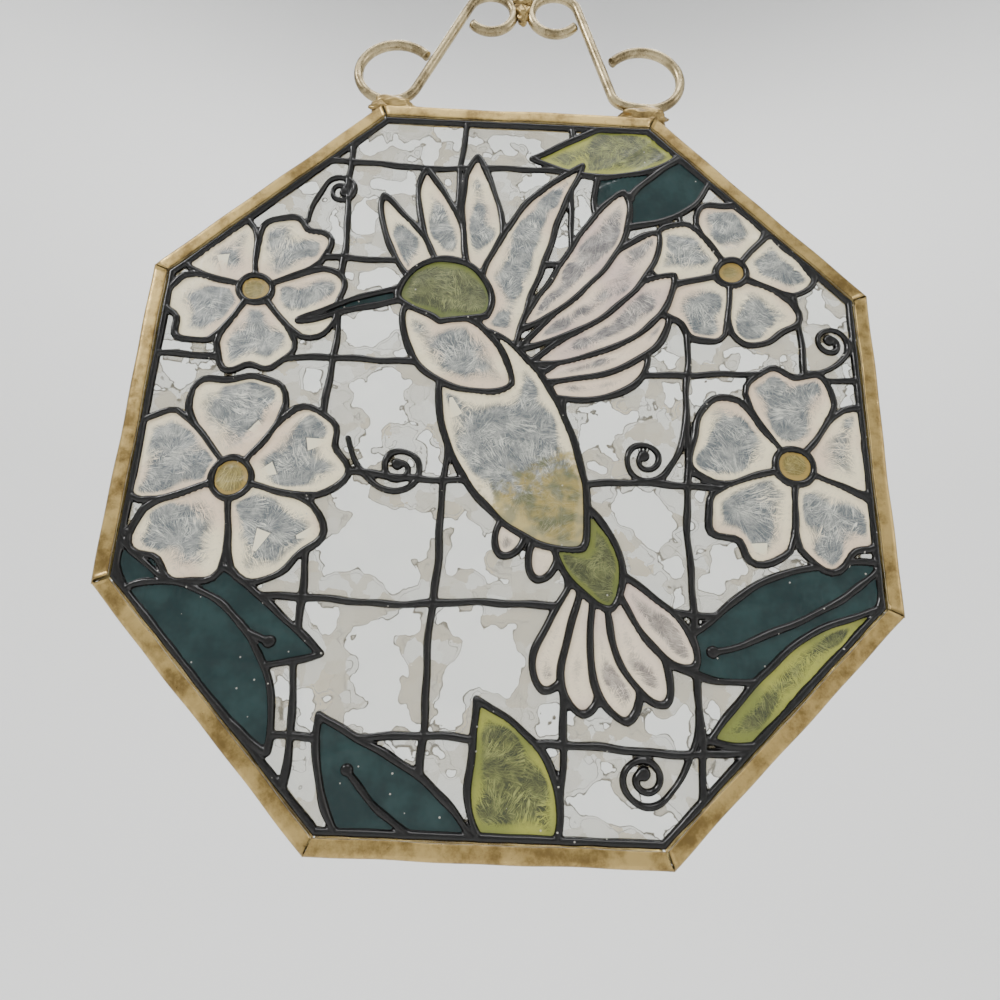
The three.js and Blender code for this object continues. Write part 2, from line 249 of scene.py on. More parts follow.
leaves = [
    ("leaf_top_dark", "dark", leaf((52, 84), (22, 54), 26, -3, rib=0.7)),
    ("leaf_top_lime", "lime", leaf((46, 90), (4, 76), 17, 4, belly=0.4)),
    ("leaf_left_dark", "dark", leaf((-84, -28), (-37, -52), 19, -4, rib=0.8)),
    ("leaf_left_low", "dark", leaf((-80, -40), (-46, -72), 17, 5)),
    ("leaf_bottom_dark", "dark", leaf((0, -92), (-36, -64), 19, 5, rib=0.75)),
    ("leaf_bottom_lime", "lime", leaf((6, -94), (-4, -60), 18, -3, belly=0.4)),
    ("leaf_right_dark", "dark", leaf((84, -28), (35, -50), 21, 4, rib=0.8)),
    ("leaf_right_lime", "lime", leaf((82, -38), (44, -66), 17, 4)),
]

flowers = []
for place, middle, size, turned in [
    ("left_low", (-61, -14), 27, 22),
    ("left_high", (-62, 34), 23, 60),
    ("right_low", (66, -6), 26, 88),
    ("right_high", (54, 44), 22, 14),
]:
    flowers.append((f"blossom_{place}", "frost", blossom(middle, size, turned)))
    flowers.append((f"blossom_eye_{place}", "amber", disc(middle, size * 0.17)))

tail = [
    (f"tail_feather_{i + 1}", "cream", leaf((19, -27), tip, width, belly=0.74, blunt=0.55))
    for i, (tip, width) in enumerate([
        ((10, -57), 8.5), ((18, -62), 9), ((27, -63), 9), ((35, -59), 9), ((42, -51), 8.5),
    ])
]
far_wing = [
    (f"far_wing_{i + 1}", "frost", leaf(base, tip, width, bow, belly=0.6, blunt=0.7))
    for i, (base, tip, width, bow) in enumerate([
        ((-6, 26), (-33, 62), 9, 3), ((-5, 26), (-23, 71), 9.5, 2), ((-3, 24), (-10, 75), 10, 1),
    ])
]
near_wing = [
    (f"near_wing_{i + 1}", "blush", leaf(base, tip, width, bow, belly=0.62, blunt=0.62))
    for i, (base, tip, width, bow) in enumerate([
        ((6, 10), (33, 20), 10, -2), ((5, 13), (38, 31), 10.5, -2), ((4, 17), (40, 43), 11, -3),
        ((2, 21), (36, 55), 11, -3), ((1, 25), (28, 66), 10.5, -3),
    ])
]
bird = [
    *tail,
    *far_wing,
    *near_wing,
    ("near_wing_lead", "frost", leaf((-3, 14), (17, 74), 13, 6, belly=0.42, blunt=0.75)),
    ("foot_front", "cream", leaf((6, -16), (0, -29), 6.5, belly=0.62, blunt=0.5)),
    ("foot_back", "cream", leaf((12, -20), (8, -34), 6.5, belly=0.62, blunt=0.5)),
    ("rump", "olive", leaf((14, -16), (24, -40), 13, belly=0.5, blunt=0.6)),
    ("body", "belly", leaf((-8, 25), (18, -27), 28, -4, belly=0.45, blunt=0.62)),
    ("throat", "frost", leaf((-25, 31), (1, 12), 17, -2, belly=0.5, blunt=0.62)),
    ("beak", "dark", leaf((-22, 36), (-51, 26), 3.4, belly=0.15, blunt=0.5)),
    ("head", "olive", leaf((-27, 33), (-6, 29), 17, 5, belly=0.5, blunt=0.6)),
]
cells = leaves + flowers + bird

tendrils = [
    tendril((-52, 54), (-44, 63), 4.5, 1.5, -1, 10),
    tendril((-36, -4), (-24, -10), 5.5, 1.6, 1, 20),
    tendril((42, 6), (32, -6), 5.5, 1.6, -1, 10),
    tendril((42, -60), (31, -74), 5.5, 1.6, -1, 0),
    tendril((70, 17), (77, 26), 4.5, 1.4, 1, 0),
]
blobs = [line[-1] for line in tendrils] + [lines[2][-1] for _, _, (_, lines) in leaves if len(lines) > 2]

# The grid reaches a little past the opening, above and below.
past = 3
ticks_x = np.arange(-opening_half, opening_half + grid_step, grid_step)
ticks_z = np.arange(-opening_half - past, opening_half + past + grid_step, grid_step)
true_x, true_z = np.meshgrid(ticks_x, ticks_z, indexing="ij")
# A hand never draws quite true: the drawing is looked up a little beside each place.
wander, tremble = 0.28, 0.12
grid_x = true_x + wander * np.sin(true_z / 4.7 + np.sin(true_x / 7.0))
grid_x += tremble * np.sin(true_z / 1.9 + true_x / 3.1)
grid_z = true_z + wander * np.sin(true_x / 5.3 + np.sin(true_z / 6.0))
grid_z += tremble * np.sin(true_x / 1.7 - true_z / 2.9)


def window(points, margin):
    """The part of the drawing's grid that lies within margin of some points."""
    low, high = np.min(points, axis=0) - margin, np.max(points, axis=0) + margin
    columns = slice(*np.searchsorted(ticks_x, [low[0], high[0]]))
    rows = slice(*np.searchsorted(ticks_z, [low[1], high[1]]))
    return columns, rows


def distance_to_line(points, part):
    """The least distance from each place of a part of the grid to the stretches between points."""
    x, z = grid_x[part], grid_z[part]
    least = np.full(x.shape, np.inf)
    for (ax, az), (bx, bz) in zip(points[:-1], points[1:]):
        length = (bx - ax) ** 2 + (bz - az) ** 2
        if length == 0:
            continue
        s = np.clip(((x - ax) * (bx - ax) + (z - az) * (bz - az)) / length, 0, 1)
        least = np.minimum(least, (x - ax - s * (bx - ax)) ** 2 + (z - az - s * (bz - az)) ** 2)
    return np.sqrt(least)


def inside_outline(outline, part):
    """Whether a level ray from each place crosses the closed outline an odd number of times."""
    x, z = grid_x[part], grid_z[part]
    odd = np.zeros(x.shape, bool)
    for (ax, az), (bx, bz) in zip(outline, np.roll(outline, -1, axis=0)):
        if az != bz:
            odd ^= ((az > z) != (bz > z)) & (x < ax + (z - az) / (bz - az) * (bx - ax))
    return odd


# Lines are joined as a power mean of their distances, which rounds the corners where they meet.
softness = 7
pull = np.zeros(grid_x.shape)
owner = np.full(grid_x.shape, -1)


def draw(points, thinner=0.0):
    """Adds a line's pull to the drawing. A thinner line counts as lying a little further off."""
    part = window(points, sight)
    pull[part] += np.maximum(distance_to_line(points, part) + thinner, nearest) ** -softness


for line in trellis():
    draw(line)
for number, (_, _, (outline, lines)) in enumerate(cells):
    part = window(outline, 1)
    covered = inside_outline(outline, part)
    pull[part][covered] = 0
    owner[part][covered] = number
    for line in lines:
        draw(line)
tendril_thinner, blob_reach, border_gap = 0.12, 0.55, 0.3
for line in tendrils:
    draw(line, thinner=tendril_thinner)
for place in blobs:
    part = window([place], sight)
    gap = np.hypot(grid_x[part] - place[0], grid_z[part] - place[1])
    pull[part] += np.maximum(gap - blob_reach, nearest) ** -softness

# Distance from the middle to an eight-sided outline through each place, in the pane's own shape.
upright = np.maximum(np.abs(true_z) - side_lengthening, 0)
outwards = np.maximum(np.maximum(np.abs(true_x), upright), (np.abs(true_x) + upright) / math.sqrt(2))
border_line = opening_half - border_gap - line_half_width
pull[outwards > border_line] = 0
owner[outwards > border_line] = -2
pull += np.maximum(np.abs(outwards - border_line), nearest) ** -softness
to_line = np.minimum(pull ** (-1 / softness), sight)


def plate(name, kept, height, stride=1, normals=None, attributes=None, floor=0.02):
    """A closed plate on the pane's front: the kept squares of the drawing's grid, raised by height, with a
    flat back a hair off the glass and a wall along every edge that only one square has."""
    x, z = true_x[::stride, ::stride], true_z[::stride, ::stride]
    if isinstance(height, tuple):
        x, z, height = height
    rows, columns = x.shape
    first = (np.arange(rows - 1)[:, None] * columns + np.arange(columns - 1)[None, :])[kept]
    top = np.stack([first, first + columns, first + columns + 1, first + 1], axis=1)
    used, top = np.unique(top, return_inverse=True)
    top = top.reshape(-1, 4)
    count = len(used)
    ends = np.stack([top, np.roll(top, -1, axis=1)], axis=-1).reshape(-1, 2)
    lone = ~np.isin(ends[:, 0] * count + ends[:, 1], ends[:, 1] * count + ends[:, 0])
    start, end = ends[lone].T
    wall = np.stack([end, start, start + count, end + count], axis=1)
    x, z, height = x.ravel()[used], z.ravel()[used], height.ravel()[used]
    front = np.stack([x, glass_front - floor - height, z], axis=1)
    back = np.stack([x, np.full(count, glass_front - floor), z], axis=1)
    places = np.concatenate([front, back]) * MM + np.array(pane_middle) * (1, 0, 1)
    piece = add_mesh(name, places, np.concatenate([top, top[:, ::-1] + count, wall]))
    for key, values in (attributes or {}).items():
        layer = piece.data.attributes.new(key, "FLOAT", "POINT")
        layer.data.foreach_set("value", np.tile(values[::stride, ::stride].ravel()[used], 2))
    if normals is not None:
        normal = normals.reshape(-1, 3)[used]
        edge = places[end] - places[start]
        side = np.cross(edge, (0, 1, 0))
        side /= np.maximum(np.linalg.norm(side, axis=1), 1e-12)[:, None]
        corners = [normal[top.ravel()], np.tile((0.0, 1.0, 0.0), (top.size, 1)), np.repeat(side, 4, axis=0)]
        piece.data.normals_split_custom_set(np.concatenate(corners))
    return piece


# The black lines: thick glass-outlining paste, piped from a tube onto the pane and left as a glossy bead.
# The beads swell and thin a little, and run into each other where they meet.

bead_height, bead_foot = 1.05, 0.08
swell = np.sin(true_x / 2.3 + 2 * np.sin(true_z / 5.1)) * np.sin(true_z / 2.9 + 2 * np.sin(true_x / 6.3))
bead_half = line_half_width * (1 + 0.11 * swell)
share = to_line / bead_half
steepness = np.stack(np.gradient(share, grid_step), axis=-1)

crown = np.maximum(1 - np.minimum(share, 1) ** 2, 0) ** 0.6
raised = (bead_height - bead_foot) * crown * (1 + 0.1 * swell) + bead_foot
fall = 1.2 * (bead_height - bead_foot) * np.minimum(share, 0.96) * (1 - np.minimum(share, 0.96) ** 2) ** -0.4
bead_normals = np.stack([fall * steepness[..., 0], -np.ones(share.shape), fall * steepness[..., 1]], axis=-1)
bead_normals /= np.linalg.norm(bead_normals, axis=-1)[..., None]

# Places just outside a bead are drawn in to its edge, square to it.
beyond = np.where((share > 1) & (share < 2), share - 1, 0) / np.maximum((steepness**2).sum(axis=-1), 0.05)
edge_x, edge_z = true_x - beyond * steepness[..., 0], true_z - beyond * steepness[..., 1]

under = share < 1
squares = under[:-1, :-1] | under[1:, :-1] | under[:-1, 1:] | under[1:, 1:]
middle_z = true_z[:-1, :-1] + grid_step / 2


def plane_position(tree):
    """The place across the pane in millimetres, as (x, z, 0)."""
    place = node(tree, "TexCoord").outputs["Object"]
    x, _, z = node(tree, "SeparateXYZ", place).outputs
    flat = node(tree, "CombineXYZ", x, z, 0.0).outputs[0]
    scaled = node(tree, "VectorMath", flat, operation="SCALE")
    scaled.inputs["Scale"].default_value = 1 / MM
    return scaled.outputs[0]


def math_node(tree, operation, *values):
    """The result of one sum in a material."""
    return node(tree, "Math", *values, operation=operation).outputs[0]


def noise(tree, place, scale, detail=2.0, roughness=0.6):
    """Smooth noise from 0 to 1, with as many swells in a millimetre as its scale."""
    new = node(tree, "TexNoise", place)
    new.inputs["Scale"].default_value = scale
    new.inputs["Detail"].default_value = detail
    new.inputs["Roughness"].default_value = roughness
    return new.outputs["Fac"]


def ramp(tree, value, low, high, out_low=0.0, out_high=1.0):
    """Runs smoothly from out_low to out_high as the value goes from low to high."""
    new = node(tree, "MapRange", value, low, high, out_low, out_high, interpolation_type="SMOOTHSTEP")
    return new.outputs[0]


def blend(tree, share, first, second):
    """A colour between two colours or colour sockets."""
    new = tree.nodes.new("ShaderNodeMix")
    new.data_type = "RGBA"
    for socket, value in zip([new.inputs[0], new.inputs[6], new.inputs[7]], [share, first, second]):
        if isinstance(value, bpy.types.NodeSocket):
            tree.links.new(value, socket)
        else:
            socket.default_value = value
    return new.outputs[2]


def tone(red, green, blue):
    """A colour as the eye sees it, from 0 to 1, turned into light."""
    return (*[((c + 0.055) / 1.055) ** 2.4 if c > 0.04 else c / 12.92 for c in (red, green, blue)], 1)


def dust(tree, place, colour, amount=0.8):
    """Pale specks a tenth or two of a millimetre across, in some of the squares of a scatter."""
    cells = node(tree, "TexVoronoi", place, voronoi_dimensions="2D")
    cells.inputs["Scale"].default_value = 0.3
    hue = node(tree, "SeparateColor", cells.outputs["Color"]).outputs[0]
    size = ramp(tree, hue, amount, 1.0, 0.0, 0.06)
    speck = math_node(tree, "LESS_THAN", cells.outputs["Distance"], size)
    return blend(tree, math_node(tree, "MULTIPLY", speck, 0.7), colour, tone(0.75, 0.74, 0.70))


material, tree, shader = new_material("black_leading", Roughness=0.16, Specular_IOR_Level=0.38)
place = plane_position(tree)
colour = blend(tree, noise(tree, place, 0.5), tone(0.03, 0.03, 0.035), tone(0.075, 0.072, 0.07))
tree.links.new(dust(tree, place, colour), shader.inputs["Base Color"])
tree.links.new(ramp(tree, noise(tree, place, 0.9, 3), 0.35, 0.7, 0.10, 0.26), shader.inputs["Roughness"])
bump = node(tree, "Bump", 0.25, 0.0002, None, noise(tree, place, 1.6, 3))
tree.links.new(bump.outputs[0], shader.inputs["Normal"])
black_leading = material

for name, half in [("leading_lines_upper", middle_z >= 0), ("leading_lines_lower", middle_z < 0)]:
    piece = plate(name, squares & half, (edge_x, edge_z, raised), normals=bead_normals)
    piece.data.materials.append(black_leading)
    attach(piece, "root")
    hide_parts("leading_lines")


# The paint: transparent glass enamel flooded between the lines. In the pale cells it dried as frost, in
# sheaves of white needles with a solid cream rim along the lines. The slate ground under the needles is
# painted shade, for the dim backdrop seen through the clear gaps between them. The dark leaves are smooth.

# The coat climbs the beads beside it, and falls away again under them.
paint_stride, coat, climb_height, climb_reach, tuck = 2, 0.16, 0.30, 0.7, 0.5
rim = to_line - bead_half
climb = climb_height * np.exp(-np.maximum(rim, 0) / climb_reach) * np.clip(1 + rim / tuck, 0, 1)
paint_height = coat + climb + 0.02 * np.sin(true_x / 1.3) * np.sin(true_z / 1.7)


def sheaves(tree, place, spacing, seed, hub, needles, low=0.50, high=0.64):
    """Sheaves of needles. Each area round a scattered seed has its own direction, and a hub that lies some
    millimetres back along it. The brightness is noise that changes fast round the hub and slowly away."""
    moved = node(tree, "VectorMath", place, (seed * 37.1, seed * 91.7, 0), operation="ADD").outputs[0]
    bent = node(tree, "TexNoise", moved)
    bent.inputs["Scale"].default_value = 0.5
    bent = node(tree, "VectorMath", bent.outputs["Color"], (1.1, 1.1, 0), operation="MULTIPLY").outputs[0]
    moved = node(tree, "VectorMath", moved, bent, operation="ADD").outputs[0]
    cells = node(tree, "TexVoronoi", moved, voronoi_dimensions="2D")
    cells.inputs["Scale"].default_value = 1 / spacing
    red, green, _ = node(tree, "SeparateColor", cells.outputs["Color"]).outputs
    local = node(tree, "VectorMath", moved, cells.outputs["Position"], operation="SUBTRACT").outputs[0]
    turned = node(tree, "VectorRotate", local, rotation_type="Z_AXIS")
    tree.links.new(math_node(tree, "MULTIPLY", green, 6.28), turned.inputs["Angle"])
    x, y, _ = node(tree, "SeparateXYZ", turned.outputs[0]).outputs
    x = math_node(tree, "ADD", x, hub)
    angle = math_node(tree, "ARCTAN2", y, x)
    square = math_node(tree, "ADD", math_node(tree, "MULTIPLY", x, x), math_node(tree, "MULTIPLY", y, y))
    reach = math_node(tree, "SQRT", square)
    round_hub = node(
        tree, "CombineXYZ",
        math_node(tree, "MULTIPLY", angle, needles),
        math_node(tree, "MULTIPLY", reach, 0.28),
        math_node(tree, "MULTIPLY", red, 53.0),
    ).outputs[0]
    return ramp(tree, noise(tree, round_hub, 1.0, 2, 0.7), low, high)


def flakes(tree, place, spacing, seed, half_length, half_width):
    """Sharp-edged oblongs, one in a few of the squares of a scatter, each turned its own way. Returns the
    flake and its outline."""
    moved = node(tree, "VectorMath", place, (seed * 17.3, seed * 29.9, 0), operation="ADD").outputs[0]
    cells = node(tree, "TexVoronoi", moved, voronoi_dimensions="2D")
    cells.inputs["Scale"].default_value = 1 / spacing
    red, green, _ = node(tree, "SeparateColor", cells.outputs["Color"]).outputs
    local = node(tree, "VectorMath", moved, cells.outputs["Position"], operation="SUBTRACT").outputs[0]
    turned = node(tree, "VectorRotate", local, rotation_type="Z_AXIS")
    tree.links.new(math_node(tree, "MULTIPLY", green, 6.28), turned.inputs["Angle"])
    x, y, _ = node(tree, "SeparateXYZ", turned.outputs[0]).outputs
    leaning = math_node(tree, "ADD", math_node(tree, "ABSOLUTE", y), math_node(tree, "MULTIPLY", x, 0.25))
    far = math_node(
        tree, "MAXIMUM",
        math_node(tree, "DIVIDE", math_node(tree, "ABSOLUTE", x), half_length),
        math_node(tree, "DIVIDE", leaning, half_width),
    )
    picked = math_node(tree, "GREATER_THAN", red, 0.62)
    flake = math_node(tree, "MULTIPLY", picked, math_node(tree, "LESS_THAN", far, 1.0))
    outer = math_node(tree, "MULTIPLY", picked, math_node(tree, "LESS_THAN", far, 1.16))
    return flake, math_node(tree, "SUBTRACT", outer, flake)


def frosted_paint(name, gap_shade, needle, margin, margin_width, blush=None, flaky=True, roughness=0.3):
    """Frost: three sizes of sheaves over a dark ground colour, and a solid rim with a ragged inner edge. The
    ground is painted shade: it stands for the dim backdrop seen through the clear gaps between the needles.
    """
    material, tree, shader = new_material(name, Roughness=roughness, Coat_Weight=0.3, Coat_Roughness=0.1)
    place = plane_position(tree)
    rim_distance = node(tree, "Attribute", attribute_name="rim").outputs["Fac"]
    long_needles = sheaves(tree, place, 9.0, 1, 5.0, 34)
    crossing = sheaves(tree, place, 5.5, 2, 3.5, 26, 0.54, 0.66)
    short = sheaves(tree, place, 2.6, 5, 2.0, 16, 0.52, 0.66)
    dense = ramp(tree, noise(tree, place, 0.17, 2), 0.38, 0.62, 0.35, 1.0)
    frost = math_node(tree, "MAXIMUM", long_needles, math_node(tree, "MULTIPLY", crossing, 0.85))
    frost = math_node(tree, "MAXIMUM", frost, math_node(tree, "MULTIPLY", short, 0.7))
    frost = math_node(tree, "MULTIPLY", frost, dense)
    haze = ramp(tree, noise(tree, place, 0.28, 3), 0.4, 0.75, 0.0, 0.3)
    # The ground under the haze and the needles is painted shade, for the dim backdrop seen through the clear
    # gaps.
    colour = blend(tree, haze, gap_shade, needle)
    colour = blend(tree, math_node(tree, "MULTIPLY", frost, 0.9), colour, needle)
    if flaky:
        flake, outline = flakes(tree, place, 14.0, 3, 2.4, 1.0)
        colour = blend(tree, math_node(tree, "MULTIPLY", flake, 0.92), colour, tone(0.95, 0.92, 0.80))
        colour = blend(tree, math_node(tree, "MULTIPLY", outline, 0.6), colour, tone(0.20, 0.20, 0.20))
    width = ramp(tree, noise(tree, place, 0.085, 1), 0.32, 0.68, 0.4 * margin_width, 2.0 * margin_width)
    ragged = math_node(tree, "MULTIPLY", math_node(tree, "SUBTRACT", frost, 0.35), -0.6)
    ragged = math_node(tree, "ADD", ragged, math_node(tree, "DIVIDE", rim_distance, width))
    solid = ramp(tree, ragged, 0.45, 1.15, 1.0, 0.0)
    rim_colour = blend(tree, ramp(tree, noise(tree, place, 0.05, 1), 0.42, 0.62), margin, blush or margin)
    rim_colour = blend(tree, ramp(tree, noise(tree, place, 1.3, 3), 0.52, 0.8, 0, 0.3), rim_colour, gap_shade)
    colour = blend(tree, solid, colour, rim_colour)
    tree.links.new(dust(tree, place, colour, 0.9), shader.inputs["Base Color"])
    bump = node(tree, "Bump", 0.3, 0.0001, None, frost)
    tree.links.new(bump.outputs[0], shader.inputs["Normal"])
    return material, tree, shader, colour


# The first colour given to each frost, the dark ground under its needles, is painted shade, not a colour of
# the enamel: it stands for the dim backdrop seen through the clear gaps in the frost.
see_through_shade, ivory = tone(0.31, 0.34, 0.36), tone(0.88, 0.88, 0.83)
cream, peach = tone(0.95, 0.90, 0.76), tone(0.90, 0.81, 0.70)
finishes = {
    "frost": ("cream_enamel", frosted_paint("frosted_cream", see_through_shade, ivory, cream, 2.2, peach)[0]),
    "blush": ("cream_enamel", frosted_paint(
        "frosted_blush", tone(0.36, 0.35, 0.36), tone(0.88, 0.85, 0.80), tone(0.92, 0.84, 0.74), 2.2,
        tone(0.84, 0.75, 0.70), flaky=False)[0]),
    "cream": ("cream_enamel", frosted_paint(
        "solid_cream", tone(0.45, 0.42, 0.40), tone(0.90, 0.85, 0.78), tone(0.93, 0.87, 0.76), 2.6,
        tone(0.86, 0.78, 0.72), flaky=False)[0]),
    "lime": ("lime_enamel", frosted_paint(
        "frosted_lime", tone(0.15, 0.17, 0.06), tone(0.62, 0.64, 0.34), tone(0.60, 0.61, 0.24), 1.5,
        tone(0.45, 0.48, 0.18), flaky=False)[0]),
    "olive": ("lime_enamel", frosted_paint(
        "frosted_olive", tone(0.18, 0.20, 0.09), tone(0.56, 0.58, 0.34), tone(0.42, 0.45, 0.17), 1.0,
        tone(0.34, 0.38, 0.14), flaky=False)[0]),
    "amber": ("amber_enamel", frosted_paint(
        "frosted_amber", tone(0.40, 0.35, 0.14), tone(0.70, 0.64, 0.38), tone(0.62, 0.52, 0.24), 0.9,
        flaky=False)[0]),
}

# The belly's frost is washed over with amber and olive at its lower end.
material, tree, shader, colour = frosted_paint("frosted_belly", see_through_shade, ivory, cream, 2.2, cream)
place = plane_position(tree)
along = node(tree, "Attribute", attribute_name="along").outputs["Fac"]
ragged = math_node(tree, "ADD", along, ramp(tree, noise(tree, place, 0.22, 4, 0.7), 0.3, 0.7, -0.08, 0.08))
wash = ramp(tree, ragged, 0.60, 0.72)
clouds = ramp(tree, noise(tree, place, 0.2, 2), 0.4, 0.6)
amber = blend(tree, clouds, tone(0.62, 0.54, 0.22), tone(0.36, 0.36, 0.15))
tinted = blend(tree, 0.78, colour, amber)
tree.links.new(dust(tree, place, blend(tree, wash, colour, tinted), 0.8), shader.inputs["Base Color"])
finishes["belly"] = ("cream_enamel", material)

# The dark leaves are one smooth coat, a little thin in places.
material, tree, shader = new_material("deep_green", Roughness=0.14, Specular_IOR_Level=0.4)
place = plane_position(tree)
thin = ramp(tree, noise(tree, place, 0.12, 3), 0.35, 0.7)
colour = blend(tree, thin, tone(0.06, 0.15, 0.155), tone(0.12, 0.215, 0.215))
tree.links.new(dust(tree, place, colour, 0.75), shader.inputs["Base Color"])
bump = node(tree, "Bump", 0.3, 0.0004, None, noise(tree, place, 0.25, 2))
tree.links.new(bump.outputs[0], shader.inputs["Normal"])
finishes["dark"] = ("dark_green_enamel", material)

# Each cell's coat covers the squares of the grid that its outline owns.
held = owner[1::2, 1::2][: (owner.shape[0] - 1) // 2, : (owner.shape[1] - 1) // 2]
for number, (name, finish, (outline, lines)) in enumerate(cells):
    kept = held == number
    if not kept.any():
        continue
    base = outline[0]
    spine = outline[len(outline) // 2] - base
    along = ((true_x - base[0]) * spine[0] + (true_z - base[1]) * spine[1]) / np.sum(spine**2)
    attributes = {"rim": rim, "along": along}
    piece = plate(f"paint_{name}", kept, paint_height, stride=paint_stride, attributes=attributes)
    slot, material = finishes[finish]
    piece.data.materials.append(material)
    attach(piece, "root")


# The clear panes: a coat of colourless varnish between the lines. It dried as a thicker tan gel that hugs
# them, with a scalloped edge, a dark skin along that edge and a second, fainter one further in.

material, tree, shader = new_material("clear_varnish", Roughness=0.12)
place = plane_position(tree)
rim_distance = node(tree, "Attribute", attribute_name="rim").outputs["Fac"]
bent = node(tree, "TexNoise", place)
bent.inputs["Scale"].default_value = 0.35
bent = node(tree, "VectorMath", bent.outputs["Color"], (4.5, 4.5, 0), operation="MULTIPLY").outputs[0]
warped = node(tree, "VectorMath", place, bent, operation="ADD").outputs[0]
whole = node(tree, "TexVoronoi", warped, voronoi_dimensions="2D")
split = node(tree, "TexVoronoi", warped, voronoi_dimensions="2D", feature="SMOOTH_F1")
whole.inputs["Scale"].default_value = 0.24
split.inputs["Scale"].default_value = 0.24
split.inputs["Smoothness"].default_value = 0.5
hue = node(tree, "SeparateColor", whole.outputs["Color"]).outputs[0]
reach = ramp(tree, noise(tree, place, 0.075, 2), 0.40, 0.62, 0.0, 6.5)
inward = math_node(tree, "SUBTRACT", reach, rim_distance)
scallop = math_node(tree, "ADD", inward, ramp(tree, split.outputs["Distance"], 0.2, 0.8, 1.3, -1.3))
gel = ramp(tree, scallop, 0.0, 0.25)
skin = math_node(tree, "MULTIPLY", gel, ramp(tree, scallop, 0.25, 0.9, 1.0, 0.0))
from_second = math_node(tree, "ABSOLUTE", math_node(tree, "SUBTRACT", scallop, 2.1))
second = ramp(tree, from_second, 0.0, 0.3, 0.7, 0.0)
lined = math_node(tree, "MULTIPLY", math_node(tree, "MAXIMUM", skin, second), 0.75)
film = math_node(tree, "MULTIPLY", gel, ramp(tree, hue, 0.2, 0.9, 0.22, 0.5))
film = math_node(tree, "MAXIMUM", film, lined)
film = math_node(tree, "MAXIMUM", film, 0.08)
fill = blend(tree, hue, tone(0.50, 0.46, 0.34), tone(0.72, 0.67, 0.54))
colour = blend(tree, lined, fill, tone(0.22, 0.19, 0.13))
tree.links.new(colour, shader.inputs["Base Color"])
tree.links.new(film, shader.inputs["Alpha"])
varnish_height = paint_height * 0.8
piece = plate("clear_varnish_film", held == -1, varnish_height, stride=paint_stride, attributes={"rim": rim})
piece.data.materials.append(material)
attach(piece, "root")


# Aged brass, for the strip and the wires: yellow metal under a brown, uneven tarnish.


def aged_brass(name, bright, dull, roughness):
    """Metal that goes from bright to dull in clouds, with a few dark specks and an uneven shine."""
    material, tree, shader = new_material(name, Metallic=1.0, Roughness=roughness)
    place = node(tree, "VectorMath", node(tree, "TexCoord").outputs["Object"], operation="SCALE")
    place.inputs["Scale"].default_value = 1 / MM
    place = place.outputs[0]
    tarnish = ramp(tree, noise(tree, place, 0.12, 5, 0.7), 0.38, 0.66)
    specks = ramp(tree, noise(tree, place, 1.3, 3, 0.7), 0.66, 0.80, 0.0, 0.5)
    colour = blend(tree, tarnish, bright, dull)
    colour = blend(tree, specks, colour, tone(0.24, 0.19, 0.12))
    tree.links.new(colour, shader.inputs["Base Color"])
    uneven = ramp(tree, noise(tree, place, 0.8, 4), 0.3, 0.7, roughness - 0.09, roughness + 0.14)
    tree.links.new(uneven, shader.inputs["Roughness"])
    bump = node(tree, "Bump", 0.25, 0.0001, None, noise(tree, place, 0.9, 3, 0.6))
    tree.links.new(bump.outputs[0], shader.inputs["Normal"])
    return material


# The came: one U-shaped brass strip folded round the pane. Its mitres stay a little open.

came_face, came_wall, came_depth, edge_radius, lip_radius = 3.6, 0.7, 5.0, 1.2, 0.22
channel = 1.8
mitre_gaps = [0.35, 0.5, 0.35, 0.5, 0.35, 0.9, 0.35, 0.5]


def came_profile():
    """The section's outline from the front lip over the rounded edge to the back lip, and back inside the
    channel, as [distance from the middle to the side, place from front to back]."""
    lip, outside, face = opening_half, opening_half + came_face, came_depth / 2
    quarter = np.linspace(0, np.pi / 2, 8)
    lip_turn = np.stack([
        lip + lip_radius * (1 - np.sin(quarter)[::-1]), -face + lip_radius * (1 - np.cos(quarter)[::-1]),
    ], axis=1)
    flat = np.stack([np.linspace(lip + 0.7, outside - edge_radius - 0.4, 4), np.full(4, -face)], axis=1)
    turn = np.stack([
        outside - edge_radius * (1 - np.sin(quarter)), -face + edge_radius * (1 - np.cos(quarter)),
    ], axis=1)
    front = np.concatenate([[[lip, -channel]], lip_turn, flat, turn])
    back = front[::-1] * (1, -1)
    floor = outside - came_wall
    return np.concatenate([front, back, [[floor, channel], [floor, -channel]]])


